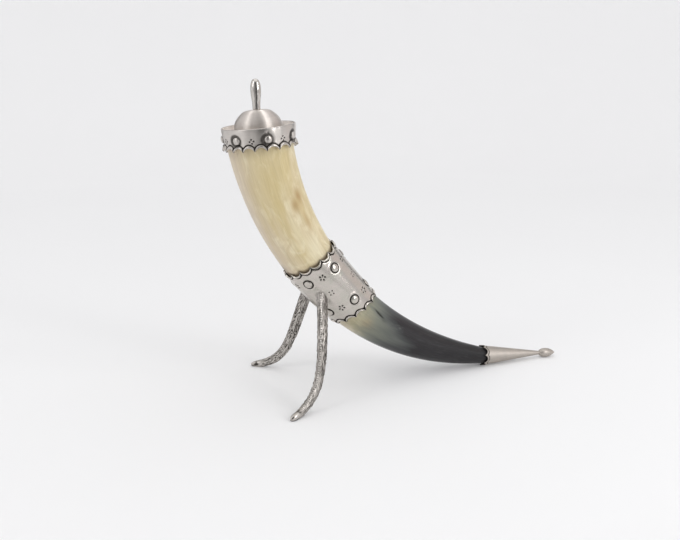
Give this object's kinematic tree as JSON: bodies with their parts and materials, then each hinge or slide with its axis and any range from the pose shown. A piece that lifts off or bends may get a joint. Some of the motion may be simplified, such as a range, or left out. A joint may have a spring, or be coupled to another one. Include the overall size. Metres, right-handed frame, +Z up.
{
  "type": "lidded drinking horn",
  "caption": "Cow horn drinking vessel with pewter mounts and a lift-off lid, standing on a pair of cast legs and its capped tip.",
  "frame": {"origin": "on the surface it stands on, under the middle of the whole object's box in X and Y", "axes": "+X runs along the object towards the capped tip, +Y is to the left seen from behind the mouth looking towards the tip, +Z is up; XZ is the plane of symmetry"},
  "size_m": [0.301, 0.1298, 0.2495],
  "materials": {
    "horn": "polished natural horn, cream at the mouth, olive in the middle and charcoal at the tip",
    "pewter_satin": "satin pewter sheet",
    "pewter_polished": "mirror-polished pewter casting",
    "pewter_antique": "darkened pewter casting",
    "pewter_plain": "plain satin pewter"
  },
  "bodies": {
    "horn": {"horn_body": "horn", "rim_collar": "pewter_satin", "mouth_ring": "pewter_satin", "middle_band": "pewter_satin", "left_leg": "pewter_antique", "right_leg": "pewter_antique", "tip_cap": "pewter_plain", "tip_bead": "pewter_plain"},
    "lid": {"lid_dome": "pewter_satin", "lid_locating_ring": "pewter_satin", "lid_knob": "pewter_polished"}
  },
  "joints": [
    {"name": "lid_lift", "type": "slide", "parent": "horn", "child": "lid", "axis": [-0.0837, 0, 0.9965], "range_m": [0, 0.05]}
  ]
}
